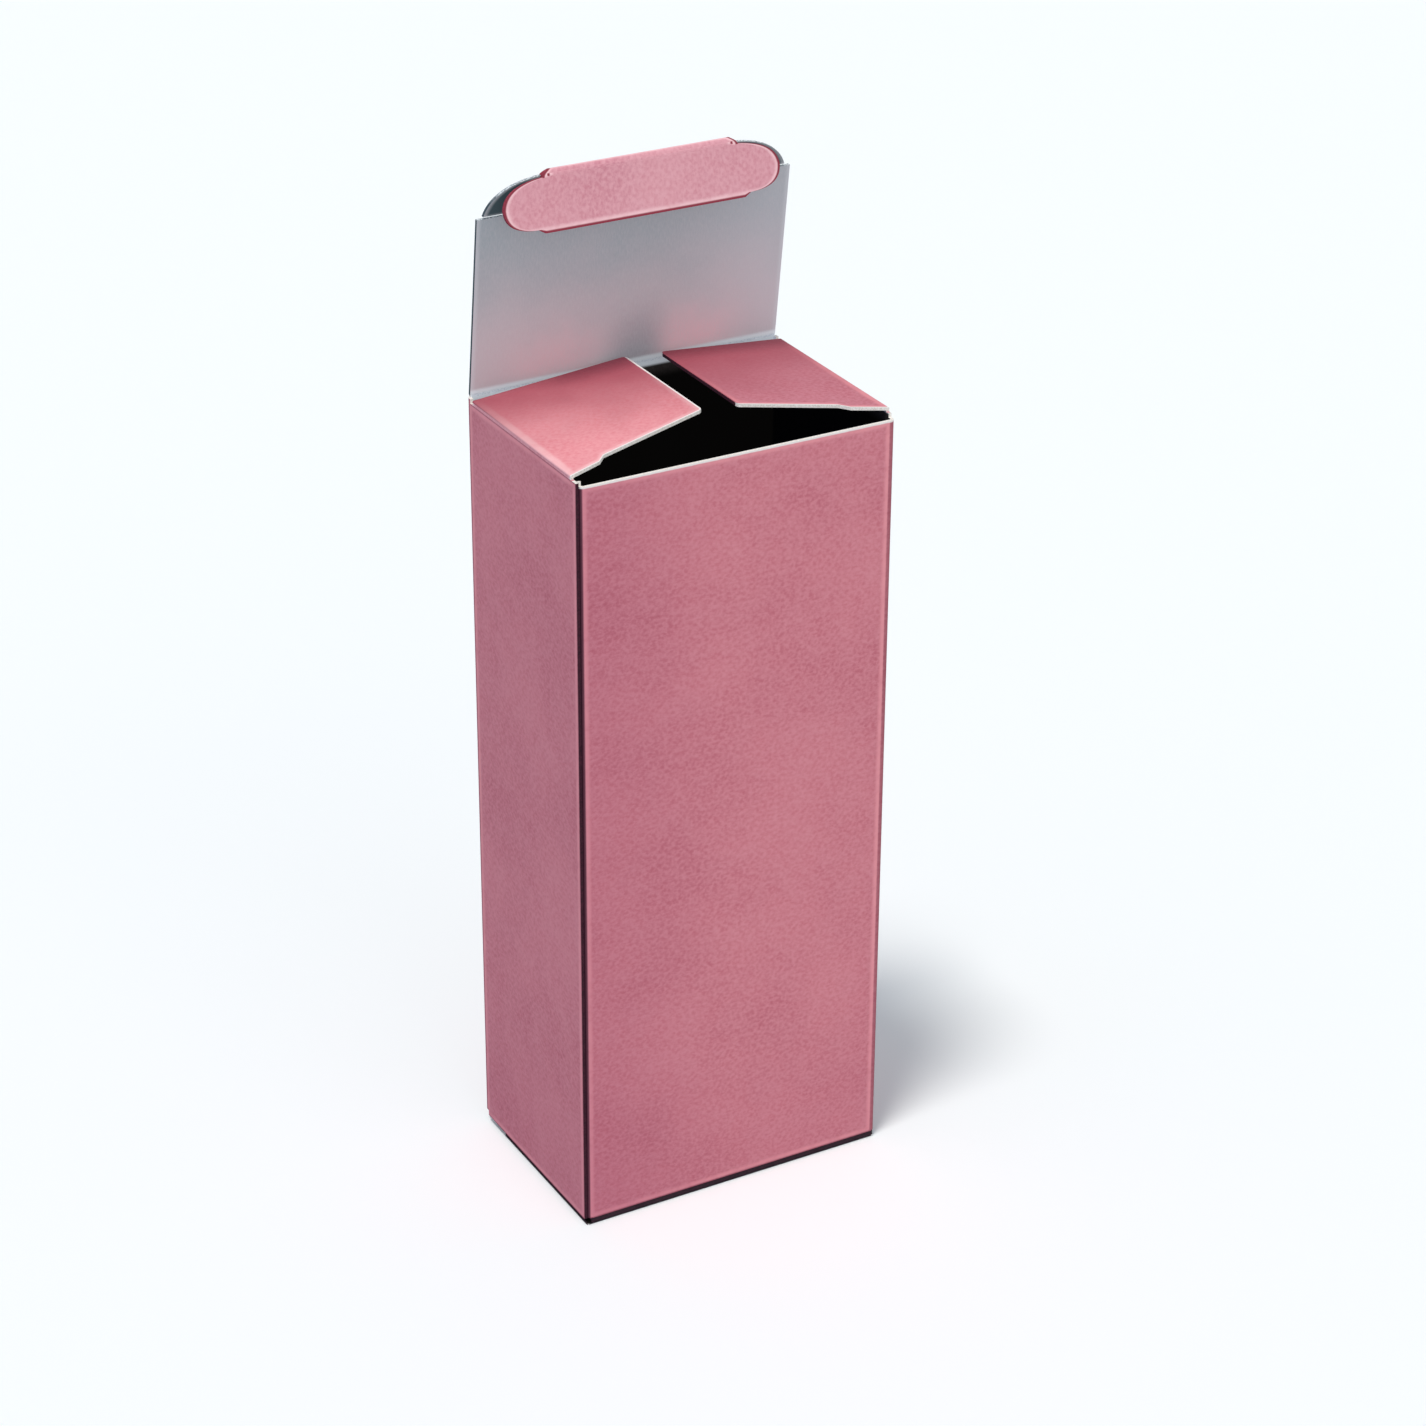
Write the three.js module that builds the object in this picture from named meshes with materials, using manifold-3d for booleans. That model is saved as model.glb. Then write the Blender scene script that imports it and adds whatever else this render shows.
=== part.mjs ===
// A tall tuck-end carton folded from one sheet of paperboard, standing with its lid open.
// Millimetres, +Z up. The origin is the middle of the base, the front panel faces -Y,
// the lid is creased to the back panel (+Y) and the bottom lid to the front panel.
import * as THREE from "three";
import { mergeVertices } from "three/addons/utils/BufferGeometryUtils.js";
import Module from "manifold-3d";

// Outside of the closed carton.
const width = 75;
const depth = 50;
const height = 180;

// The board, how tightly it folds and what stays free between pieces.
const board = 0.7;
const foldRadius = 0.75;
const gap = 0.3;

// The front and back panels stop short where a tuck flap slides in behind them.
const mouthDrop = 1.9;

// The glued seam at the front left corner.
const glueFlapLength = 13;
const glueFlapBevel = 5;
const glueFilm = 0.1;
const glueMargin = 3;
const seamRecess = 0.5;

// The lid: its side edges, the slit at each shoulder and the crease that carries the tuck flap.
const lidSideClearance = 0.5;
const lidSideLength = 40.4;
const slitLength = 7;
const slitWidth = 0.5;
const shoulderInset = 1.4;
const shoulderPullIn = 3.6;
const shoulderPullUp = 7;
const creaseWidth = 43.5;

// The tuck flap: a round-ended strip with a small step at each end of its free edge.
const tuckDepth = 11.9;
const tuckWidth = 65;
const tuckWidestDepth = 6;
const tuckStepDepth = 11;
const tuckStepWidth = 50;
const tuckEdgeWidth = 47;
const tuckClearance = 0.2;

// The dust flaps: a shoulder by the crease, a step, then a taper on the side of the tuck flap.
const leftDustLength = 36.2;
const rightDustLength = 30;
const bottomDustLength = 34;
const dustFrontMargin = 2.6;
const dustBackMargin = 2.7;
const dustShoulderLength = 7.5;
const dustShoulderSlope = 2.3;
const dustStepLength = 2;
const dustStepDepth = 2.1;
const dustTaper = 6.4;
const dustCornerRadius = 1.2;

// How far each flap stands open, in degrees.
const lidOpen = 82.5;
const tuckFoldShut = 102;
const tuckFoldPerLidDegree = 0.7;
const dustTilt = 5;

const arcSteps = 8;
const curveSteps = 12;

const pink = 0xc2788a;
const palePink = 0xd7929e;
const greyInside = 0x9c979e;

const wasm = await Module();
wasm.setup();

// Joining and cutting closed meshes.
function solidOf(geometry) {
  const bare = new THREE.BufferGeometry();
  bare.setAttribute("position", geometry.getAttribute("position"));
  if (geometry.index) bare.setIndex(geometry.index);
  const merged = mergeVertices(bare, 1e-4);
  const mesh = new wasm.Mesh({
    numProp: 3,
    vertProperties: new Float32Array(merged.attributes.position.array),
    triVerts: new Uint32Array(merged.index.array),
  });
  return new wasm.Manifold(mesh);
}

function geometryOf(solid) {
  const mesh = solid.getMesh();
  const geometry = new THREE.BufferGeometry();
  geometry.setAttribute("position", new THREE.BufferAttribute(mesh.vertProperties, 3));
  geometry.setIndex(new THREE.BufferAttribute(mesh.triVerts, 1));
  geometry.computeVertexNormals();
  return geometry;
}

// A block between two corners.
function block(low, high) {
  const size = high.clone().sub(low);
  const geometry = new THREE.BoxGeometry(size.x, size.y, size.z);
  const middle = low.clone().add(high).multiplyScalar(0.5);
  geometry.translate(middle.x, middle.y, middle.z);
  return solidOf(geometry);
}

// A shape pushed from one level to another along the direction that `across` x `up` gives.
function prism(shape, from, to, across, up) {
  const geometry = new THREE.ExtrudeGeometry(shape, {
    depth: to - from,
    bevelEnabled: false,
    curveSegments: curveSteps,
  });
  geometry.translate(0, 0, from);
  const along = across.clone().cross(up);
  geometry.applyMatrix4(new THREE.Matrix4().makeBasis(across, up, along));
  return solidOf(geometry);
}

const X = new THREE.Vector3(1, 0, 0);
const Y = new THREE.Vector3(0, 1, 0);
const Z = new THREE.Vector3(0, 0, 1);

// The left-hand normal of a direction.
function normalOf(direction) {
  return new THREE.Vector2(-direction.y, direction.x);
}

// The middle line of a folded board: straight runs joined by arcs of the fold radius.
// Each entry is a point with the normal of the board there.
function foldedLine(corners) {
  const last = corners.length - 1;
  const direction = (i) => corners[i + 1].clone().sub(corners[i]).normalize();
  const line = [{ point: corners[0], normal: normalOf(direction(0)) }];
  for (let i = 1; i < last; i++) {
    const into = direction(i - 1);
    const out = direction(i);
    const side = Math.sign(into.x * out.y - into.y * out.x);
    const angle = Math.acos(into.dot(out));
    const run = foldRadius * Math.tan(angle / 2);
    const centre = corners[i].clone().addScaledVector(into, -run);
    centre.addScaledVector(normalOf(into), side * foldRadius);
    for (let k = 0; k <= arcSteps; k++) {
      const turned = k < arcSteps ? normalOf(into) : normalOf(out);
      if (k < arcSteps) turned.rotateAround(new THREE.Vector2(), (side * angle * k) / arcSteps);
      const point = centre.clone().addScaledVector(turned, -side * foldRadius);
      line.push({ point, normal: turned });
    }
  }
  line.push({ point: corners[last], normal: normalOf(direction(last - 1)) });
  return line;
}

// The section of a board that follows a middle line.
function boardSection(corners) {
  const line = foldedLine(corners);
  const side = (distance) =>
    line.map(({ point, normal }) => point.clone().addScaledVector(normal, distance));
  return new THREE.Shape(side(-board / 2).concat(side(board / 2).reverse()));
}

// The edge view of a hinged flap: a round root, then flat board up to `reach`.
// `rise` is how far the middle of the board lies above the axis that it turns on.
function flapSection(reach, rise) {
  const half = board / 2;
  const section = new THREE.Shape();
  section.absarc(0, rise, half, Math.PI / 2, (3 * Math.PI) / 2, false);
  section.lineTo(reach, rise - half);
  section.lineTo(reach, rise + half);
  section.closePath();
  return section;
}

// A flap cut to its outline, lying in X and Y with its axis on X and its outer face up.
function flap(outline, section, span) {
  const sheet = prism(section, -span / 2, span / 2, Y, Z);
  const cutter = prism(outline, -board * 4, board * 4, X, Y);
  return sheet.intersect(cutter);
}

// Half widths and lengths that several pieces share.
const wallMiddleX = (width - board) / 2;
const wallMiddleY = (depth - board) / 2;
const hingeRun = board / 2 + gap;
const lidAxisHeight = height + hingeRun;
const dustAxisHeight = height - board / 2;
const sideTop = dustAxisHeight - hingeRun;
const bottomAxisHeight = board / 2;
const frontFoot = bottomAxisHeight + hingeRun;
const bottomDustMiddle = frontFoot + board / 2;
const backFoot = frontFoot + mouthDrop;
const foldHeight = foldRadius + board / 2;

// The tuck flap turns on an axis just under the lid's inner face, so that it can fold right back.
// The lid is as long as lets the shut tuck flap slide in behind the panel opposite its hinge.
const degrees = THREE.MathUtils.degToRad;
const tuckAxisDrop = (board + gap) / 2;
const tuckLean = degrees(tuckFoldShut - 90);
const mouthReach = mouthDrop + hingeRun - tuckAxisDrop;
const tuckOuterFace = (tuckAxisDrop + board / 2) / Math.cos(tuckLean);
const tuckInset = board + tuckClearance + tuckOuterFace - mouthReach * Math.tan(tuckLean);
const lidLength = wallMiddleY + depth / 2 - tuckInset;

// The lid panel seen flat: straight sides, a slit at each shoulder, round shoulders, the crease.
function lidOutline() {
  const half = width / 2 - lidSideClearance;
  const crease = creaseWidth / 2;
  const end = lidLength - gap / 2;
  const above = lidSideLength + slitWidth;
  const pull = lidSideLength + shoulderPullUp;
  const outline = new THREE.Shape();
  outline.moveTo(-half, -board);
  outline.lineTo(half, -board);
  outline.lineTo(half, lidSideLength);
  outline.lineTo(half - slitLength, lidSideLength);
  outline.lineTo(half - slitLength, above);
  outline.lineTo(half - shoulderInset, above);
  outline.quadraticCurveTo(half - shoulderPullIn, pull, crease, end);
  outline.lineTo(-crease, end);
  outline.quadraticCurveTo(-half + shoulderPullIn, pull, -half + shoulderInset, above);
  outline.lineTo(-half + slitLength, above);
  outline.lineTo(-half + slitLength, lidSideLength);
  outline.lineTo(-half, lidSideLength);
  outline.closePath();
  return outline;
}

// The tuck flap seen flat: it swells from the crease to round ends, then steps in to its edge.
function tuckOutline() {
  const crease = creaseWidth / 2;
  const widest = tuckWidth / 2;
  const step = tuckStepWidth / 2;
  const edge = tuckEdgeWidth / 2;
  const outline = new THREE.Shape();
  outline.moveTo(-crease, -board);
  outline.lineTo(crease, -board);
  outline.lineTo(crease, board / 2);
  outline.quadraticCurveTo(widest, board / 2, widest, tuckWidestDepth);
  outline.quadraticCurveTo(widest, tuckStepDepth, step, tuckStepDepth);
  outline.lineTo(edge, tuckDepth);
  outline.lineTo(-edge, tuckDepth);
  outline.lineTo(-step, tuckStepDepth);
  outline.quadraticCurveTo(-widest, tuckStepDepth, -widest, tuckWidestDepth);
  outline.quadraticCurveTo(-widest, board / 2, -crease, board / 2);
  outline.closePath();
  return outline;
}

// A dust flap seen flat, in X from its crease inwards and in Y along the carton's depth.
// `tuckSide` is -1 when the tuck flap slides in at the front and 1 when it does at the back.
function dustOutline(length, tuckSide) {
  const tuckEdge = depth / 2 - dustFrontMargin;
  const plainEdge = depth / 2 - dustBackMargin;
  const shoulder = tuckEdge - dustShoulderSlope;
  const step = shoulder - dustStepDepth;
  const stepEnd = dustShoulderLength + dustStepLength;
  const tip = step - dustTaper;
  const y = (value) => value * tuckSide;
  const outline = new THREE.Shape();
  outline.moveTo(-board, y(-plainEdge));
  outline.lineTo(length - dustCornerRadius, y(-plainEdge));
  outline.quadraticCurveTo(length, y(-plainEdge), length, y(-plainEdge + dustCornerRadius));
  outline.lineTo(length, y(tip - dustCornerRadius));
  outline.quadraticCurveTo(length, y(tip), length - dustCornerRadius, y(tip));
  outline.lineTo(stepEnd, y(step));
  outline.lineTo(dustShoulderLength, y(shoulder));
  outline.lineTo(0, y(tuckEdge));
  outline.lineTo(-board, y(tuckEdge));
  outline.closePath();
  return outline;
}

function lidSolid() {
  return flap(lidOutline(), flapSection(lidLength - gap / 2, 0), width);
}

function tuckSolid() {
  return flap(tuckOutline(), flapSection(tuckDepth, tuckAxisDrop), width);
}

// The sleeve: four panels and the glue flap, one strip of board bent round.
function sleeve() {
  const glueMiddleX = -wallMiddleX + board + glueFilm;
  const corners = [
    new THREE.Vector2(glueMiddleX, -wallMiddleY + glueFlapLength),
    new THREE.Vector2(glueMiddleX, -wallMiddleY),
    new THREE.Vector2(wallMiddleX, -wallMiddleY),
    new THREE.Vector2(wallMiddleX, wallMiddleY),
    new THREE.Vector2(-wallMiddleX, wallMiddleY),
    new THREE.Vector2(-wallMiddleX, -depth / 2 + seamRecess),
  ];
  return prism(boardSection(corners), frontFoot, height, X, Y);
}

// What is cut away above and below each panel, so that the flaps can fold over its edge.
function sleeveCuts() {
  const far = width;
  const insideFold = depth / 2 - foldHeight - gap;
  const frontStart = -width / 2 + board + glueFilm / 2;
  const sideFoot = frontFoot + foldHeight;
  const frontTop = new THREE.Vector3(frontStart, -far, height - mouthDrop);
  const aboveSides = new THREE.Vector3(-far, -far, sideTop);
  const belowBack = new THREE.Vector3(-far, insideFold, -far);
  const belowSides = new THREE.Vector3(-far, -insideFold, -far);
  return [
    block(frontTop, new THREE.Vector3(far, -insideFold, height + far)),
    block(aboveSides, new THREE.Vector3(far, insideFold, height + far)),
    block(belowBack, new THREE.Vector3(far, far, backFoot)),
    block(belowSides, new THREE.Vector3(far, insideFold, sideFoot)),
  ];
}

// The slanted ends of the glue flap, cut in from its free edge.
function glueFlapCuts() {
  const near = -depth / 2 + foldHeight + gap;
  const far = -wallMiddleY + glueFlapLength + gap;
  const low = -width / 2 + board + glueFilm / 2;
  const high = low + 2 * board;
  const top = new THREE.Shape();
  top.moveTo(near, height + board);
  top.lineTo(near, sideTop);
  top.lineTo(far, sideTop - glueFlapBevel);
  top.lineTo(far, height + board);
  top.closePath();
  const foot = new THREE.Shape();
  foot.moveTo(near, -board);
  foot.lineTo(far, -board);
  foot.lineTo(far, backFoot + glueFlapBevel);
  foot.lineTo(near, backFoot);
  foot.closePath();
  return [prism(top, low, high, Y, Z), prism(foot, low, high, Y, Z)];
}

// The film of glue that bonds the glue flap to the inside of the left panel.
function glue() {
  const bite = board / 4;
  const inner = -width / 2 + board;
  const from = new THREE.Vector3(
    inner - bite,
    -wallMiddleY + glueMargin,
    backFoot + glueFlapBevel + glueMargin,
  );
  const to = new THREE.Vector3(
    inner + glueFilm + bite,
    -wallMiddleY + glueFlapLength - glueMargin,
    sideTop - glueFlapBevel - glueMargin,
  );
  return block(from, to);
}

// A bottom dust flap, folded in from the foot of a side panel.
function bottomDustFlap(side) {
  const wallTop = frontFoot + foldHeight + board;
  const corners = [
    new THREE.Vector2(-side * wallMiddleX, wallTop),
    new THREE.Vector2(-side * wallMiddleX, bottomDustMiddle),
    new THREE.Vector2(-side * (wallMiddleX - bottomDustLength), bottomDustMiddle),
  ];
  const shape = boardSection(side > 0 ? corners : corners.reverse());
  const folded = prism(shape, -depth / 2, depth / 2, X, Z);
  const outline = dustOutline(bottomDustLength, 1);
  const flat = prism(outline, 0, wallTop + board, X, Y);
  const placed = new THREE.Matrix4().makeTranslation(-wallMiddleX, 0, 0);
  if (side < 0) placed.premultiply(new THREE.Matrix4().makeScale(-1, 1, 1));
  return folded.intersect(flat.transform(placed.toArray()));
}

// The body of the carton: sleeve, seam and bottom dust flaps, one folded and glued piece.
function cartonBody() {
  let solid = sleeve();
  for (const cut of sleeveCuts()) solid = solid.subtract(cut);
  for (const cut of glueFlapCuts()) solid = solid.subtract(cut);
  solid = solid.add(glue());
  solid = solid.add(bottomDustFlap(1));
  return solid.add(bottomDustFlap(-1));
}

function piece(name, solid, color) {
  const material = new THREE.MeshStandardMaterial({ color, roughness: 0.6, metalness: 0 });
  const mesh = new THREE.Mesh(geometryOf(solid), material);
  mesh.name = name;
  return mesh;
}

// A group whose own X axis is the crease that its flap turns on.
function crease(x, y, z) {
  const group = new THREE.Group();
  group.position.set(x, y, z);
  group.rotation.order = "XYZ";
  return group;
}

const carton = new THREE.Group();
carton.add(piece("carton_body", cartonBody(), pink));

// The lid stands up from the back panel, its outer face to the back.
const lidHinge = crease(0, wallMiddleY, lidAxisHeight);
lidHinge.rotation.x = degrees(-lidOpen);
const lidSide = crease(0, 0, 0);
lidSide.rotation.z = Math.PI;
lidSide.add(piece("lid_panel", lidSolid(), greyInside));
const tuckHinge = crease(0, lidLength, -tuckAxisDrop);
tuckHinge.rotation.x = degrees(-tuckFoldShut - tuckFoldPerLidDegree * lidOpen);
tuckHinge.add(piece("tuck_flap", tuckSolid(), palePink));
lidSide.add(tuckHinge);
lidHinge.add(lidSide);
carton.add(lidHinge);

// The dust flaps fold in from the side panels and spring up a little.
function dustFlap(name, length, side) {
  const hinge = crease(side * wallMiddleX, 0, dustAxisHeight);
  hinge.rotation.y = degrees(side * dustTilt);
  const sheet = prism(flapSection(length, 0), -depth / 2, depth / 2, X, Z);
  const solid = sheet.intersect(prism(dustOutline(length, -1), -board, board, X, Y));
  const turned = side < 0 ? solid : solid.mirror([1, 0, 0]);
  hinge.add(piece(name, turned, palePink));
  carton.add(hinge);
}
dustFlap("dust_flap_left", leftDustLength, -1);
dustFlap("dust_flap_right", rightDustLength, 1);

// The bottom lid closes under the body, creased to the front panel and tucked in at the back.
const bottomHinge = crease(0, -wallMiddleY, bottomAxisHeight);
const bottomSide = crease(0, 0, 0);
bottomSide.rotation.y = Math.PI;
bottomSide.add(piece("bottom_lid", lidSolid(), pink));
const bottomTuckHinge = crease(0, lidLength, -tuckAxisDrop);
bottomTuckHinge.rotation.x = degrees(-tuckFoldShut);
bottomTuckHinge.add(piece("bottom_tuck_flap", tuckSolid(), pink));
bottomSide.add(bottomTuckHinge);
bottomHinge.add(bottomSide);
carton.add(bottomHinge);

export default carton;
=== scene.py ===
import math

import bmesh
import bpy
from mathutils import Matrix, Vector


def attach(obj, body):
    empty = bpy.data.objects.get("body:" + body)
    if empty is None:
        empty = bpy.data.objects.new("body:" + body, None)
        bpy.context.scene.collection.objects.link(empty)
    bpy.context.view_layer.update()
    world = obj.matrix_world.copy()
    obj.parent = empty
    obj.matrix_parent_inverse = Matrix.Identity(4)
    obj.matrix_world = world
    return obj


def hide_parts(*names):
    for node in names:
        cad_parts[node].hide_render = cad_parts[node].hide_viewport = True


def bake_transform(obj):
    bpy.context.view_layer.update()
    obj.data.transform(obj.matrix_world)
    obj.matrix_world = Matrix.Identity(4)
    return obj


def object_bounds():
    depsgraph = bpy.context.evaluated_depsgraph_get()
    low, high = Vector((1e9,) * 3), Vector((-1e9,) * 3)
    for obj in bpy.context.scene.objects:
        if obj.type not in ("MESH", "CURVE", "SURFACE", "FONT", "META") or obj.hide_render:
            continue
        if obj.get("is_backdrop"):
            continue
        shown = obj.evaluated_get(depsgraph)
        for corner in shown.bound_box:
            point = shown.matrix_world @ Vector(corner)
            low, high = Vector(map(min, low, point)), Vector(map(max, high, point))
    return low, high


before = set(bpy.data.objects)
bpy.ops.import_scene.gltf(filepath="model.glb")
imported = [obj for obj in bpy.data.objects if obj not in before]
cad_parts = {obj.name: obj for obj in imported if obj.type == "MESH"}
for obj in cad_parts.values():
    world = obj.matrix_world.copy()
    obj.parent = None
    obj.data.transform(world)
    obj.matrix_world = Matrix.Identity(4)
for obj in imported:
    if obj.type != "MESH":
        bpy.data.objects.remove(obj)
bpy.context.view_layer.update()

MM = 0.001
BOARD = 0.7
FOLD = 0.75
NO_RIM = 99.0

# The sleeve: middles of its walls, and the heights at which its panels start and end.
WALL_X = 37.15
WALL_Y = 24.65
FOLD_START = 23.6
GLUE_END = -11.65
GLUE_RUN = 12
GLUE_TAPER = 5
SEAM_Y = -24.5
SIDE_FOOT = 1.6
BACK_FOOT = 2.9
FRONT_TOP = 178.1
SIDE_TOP = 179.0
BACK_TOP = 180.0

# The lids and their tuck flaps.
LID_LENGTH = 48.31675
LID_HALF = 37.0
LID_SIDE = 40.4
SLIT = 0.5
CREASE_HALF = 21.75
LID_OPEN = 82.5
TUCK_SHUT = 102
TUCK_FOLD = TUCK_SHUT + 0.7 * LID_OPEN
TUCK_WIDE = 32.5
TUCK_STEP = 11.0
TUCK_DEPTH = 11.9

# The dust flaps: half their width at the root, and how long each is.
DUST_TILT = 5
DUST_ROOT = 22.4
DUST_BACK = 22.3
DUST_TIP = 11.6
DUST_CORNER = 1.2
LEFT_DUST = 36.2
RIGHT_DUST = 30
BOTTOM_DUST = 34
BOTTOM_DUST_Z = 1.35

# Distances from an edge at which a row of board has its first places.
NEAR = (0, 0.3, 0.6, 1.0, 1.6, 3.0, 6.0)

X = Vector((1, 0, 0))
Y = Vector((0, 1, 0))
Z = Vector((0, 0, 1))


class Shade:
    """A material and short ways to add its nodes."""

    def __init__(self, name):
        self.material = bpy.data.materials.new(name)
        self.material.use_nodes = True
        self.tree = self.material.node_tree
        self.tree.nodes.clear()

    def add(self, kind, inputs=None, **settings):
        node = self.tree.nodes.new(kind)
        for key, value in settings.items():
            setattr(node, key, value)
        for key, value in (inputs or {}).items():
            if isinstance(value, bpy.types.NodeSocket):
                self.tree.links.new(value, node.inputs[key])
            else:
                node.inputs[key].default_value = value
        return node

    def math(self, operation, a, b=0.0):
        return self.add("ShaderNodeMath", {0: a, 1: b}, operation=operation).outputs[0]

    def ramp(self, value, low, high, to_low=0.0, to_high=1.0):
        places = {0: value, 1: low, 2: high, 3: to_low, 4: to_high}
        node = self.add("ShaderNodeMapRange", places, interpolation_type="SMOOTHSTEP")
        return node.outputs[0]

    def noise(self, where, scale, detail=2.0, roughness=0.5):
        inputs = {"Vector": where, "Scale": scale, "Detail": detail, "Roughness": roughness}
        return self.add("ShaderNodeTexNoise", inputs).outputs[0]

    def mix(self, share, a, b, blend="MIX"):
        node = self.add("ShaderNodeMix", data_type="RGBA", blend_type=blend)
        for socket, value in ((node.inputs[0], share), (node.inputs[6], a), (node.inputs[7], b)):
            if isinstance(value, bpy.types.NodeSocket):
                self.tree.links.new(value, socket)
            else:
                socket.default_value = value
        return node.outputs[2]

    def place(self):
        """Where a point lies on the flat blank, in metres, and how far from a fold or cut."""
        flat = self.add("ShaderNodeUVMap", uv_map="blank").outputs[0]
        rim = self.add("ShaderNodeAttribute", attribute_name="rim").outputs["Fac"]
        return flat, rim

    def cut(self):
        """How far a point lies from a cut edge."""
        return self.add("ShaderNodeAttribute", attribute_name="cut").outputs["Fac"]

    def stretched(self, flat, along, across):
        scale = {"Vector": flat, "Scale": (along, across, 1)}
        return self.add("ShaderNodeMapping", scale).outputs[0]

    def board(self, color, height, roughness, depth, gloss=0.3):
        bump = self.add("ShaderNodeBump", {"Height": height, "Strength": 1.0, "Distance": depth})
        inputs = {"Base Color": color, "Roughness": roughness, "Normal": bump.outputs[0]}
        shader = self.add("ShaderNodeBsdfPrincipled", inputs)
        shader.inputs["Specular IOR Level"].default_value = gloss
        self.add("ShaderNodeOutputMaterial", {"Surface": shader.outputs[0]})
        return self.material


def srgb(red, green, blue, last=1.0):
    def linear(value):
        value /= 255
        return value / 12.92 if value <= 0.04045 else ((value + 0.055) / 1.055) ** 2.4

    return (linear(red), linear(green), linear(blue), last)


def printed(name, base, deep, pale, line, outline, frays=0.95, shadow=None, border=0.42):
    """Board printed one colour: cloudy ink over paper fibre, pale beside its folds and cut edges
    from wear and a painted highlight, with a painted dark line of shade right at them.

    The line is the colour of the pale band, from wear and painted highlight, and the outline the
    colour of the painted shade at a fold or edge with its share.
    """
    s = Shade(name)
    flat, rim = s.place()
    cloud = s.ramp(s.noise(flat, 38, 3, 0.6), 0.35, 0.68)
    patch = s.ramp(s.noise(flat, 150, 3, 0.55), 0.35, 0.7)
    fibre = s.noise(s.stretched(flat, 1, 2.2), 620, 5, 0.7)
    grain = s.noise(flat, 1150, 4, 0.65)
    slanted = s.add("ShaderNodeMapping", {"Vector": flat, "Rotation": (0, 0, 0.7)}).outputs[0]
    dots = s.add("ShaderNodeTexVoronoi", {"Vector": slanted, "Scale": 820, "Randomness": 0.5})
    color = s.mix(s.math("MULTIPLY", cloud, 0.8), base, deep)
    color = s.mix(s.math("MULTIPLY", patch, 0.28), color, pale)
    tone = s.math("ADD", s.math("MULTIPLY", fibre, 0.5), s.math("MULTIPLY", grain, 0.5))
    tone = s.math("ADD", tone, s.math("MULTIPLY", dots.outputs[0], 0.16))
    color = s.mix(s.ramp(tone, 0.46, 0.72, 0.0, 0.6), color, pale)
    color = s.mix(s.ramp(tone, 0.38, 0.64, 0.15, 0.0), color, deep, "MULTIPLY")
    # Painted highlight, partly wear: a pale band just inside each fold and cut edge.
    worn_and_highlight = s.math("MULTIPLY", s.ramp(rim, 0.15, 0.5), s.ramp(rim, 0.7, 1.7, 1.0, 0.0))
    worn_and_highlight = s.math("MULTIPLY", worn_and_highlight, s.ramp(s.noise(flat, 260, 3), 0.25, 0.6, 0.5, 0.95))
    color = s.mix(worn_and_highlight, color, line)
    # Painted shade: a dark outline right at each fold and cut edge.
    edge = s.ramp(rim, border - 0.37, border, outline[3], 0.0)
    color = s.mix(edge, color, outline[:3] + (1.0,))
    if shadow:
        color = shadow(s, flat, color)
    frayed = s.math("ADD", s.cut(), s.math("MULTIPLY", s.noise(flat, 700, 2), 0.12))
    color = s.mix(s.ramp(frayed, 0.3, 0.56, frays, 0.0), color, srgb(253, 247, 242))
    rough = s.ramp(fibre, 0.3, 0.7, 0.5, 0.68)
    height = s.math("ADD", s.math("MULTIPLY", fibre, 0.7), s.math("MULTIPLY", grain, 0.4))
    return s.board(color, height, rough, 0.00004)


def plain(name, base, deep, pale):
    """The unprinted side: grey-white fibre with flecks."""
    s = Shade(name)
    flat, rim = s.place()
    cloud = s.ramp(s.noise(flat, 60, 3, 0.6), 0.35, 0.68)
    fibre = s.noise(s.stretched(flat, 1, 4), 800, 5, 0.7)
    fleck = s.ramp(s.noise(flat, 1700, 2, 0.5), 0.66, 0.74, 0.0, 0.4)
    color = s.mix(cloud, base, deep)
    color = s.mix(s.ramp(fibre, 0.35, 0.7, 0.0, 0.35), color, pale)
    color = s.mix(fleck, color, deep)
    color = s.mix(s.ramp(rim, 0.2, 1.2, 0.35, 0.0), color, pale)
    return s.board(color, fibre, s.ramp(fibre, 0.3, 0.7, 0.65, 0.85), 0.00006)


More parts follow.
